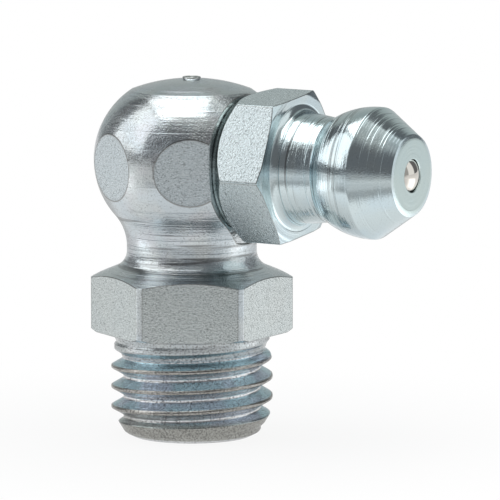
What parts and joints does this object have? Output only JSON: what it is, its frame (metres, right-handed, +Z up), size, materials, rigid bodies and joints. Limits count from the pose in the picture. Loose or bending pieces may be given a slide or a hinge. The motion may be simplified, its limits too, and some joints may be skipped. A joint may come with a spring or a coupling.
{
  "type": "angled grease nipple",
  "caption": "Right-angle steel grease nipple: threaded stud, hexagon and ball-shaped elbow, with a screwed-in nipple head and a sprung check ball.",
  "frame": {"origin": "centre of the seat, the underside of the large hexagon, on the stud's axis", "axes": "+Z up the stud's axis from the seat to the ball; +X outward along the nipple's axis"},
  "size_m": [0.0171, 0.01, 0.0178],
  "materials": {
    "zinc_plated_body": "bright zinc plate over turned steel, fine turning rings, matte drawn flats",
    "zinc_plated_nipple": "bright zinc plate over turned steel, fine turning rings",
    "ball_steel": "polished bearing ball",
    "spring_steel": "drawn spring wire"
  },
  "bodies": {
    "fitting": {"elbow_body": "zinc_plated_body", "nipple": "zinc_plated_nipple", "valve_spring": "spring_steel"},
    "valve": {"check_ball": "ball_steel"}
  },
  "joints": [
    {"name": "check_ball_lift", "type": "slide", "parent": "fitting", "child": "valve", "axis": [-1, 0, 0], "range_m": [0, 0.0008], "stiffness_N_per_m": 300, "springref_m": -0.0005, "deforming": ["valve_spring"]}
  ]
}
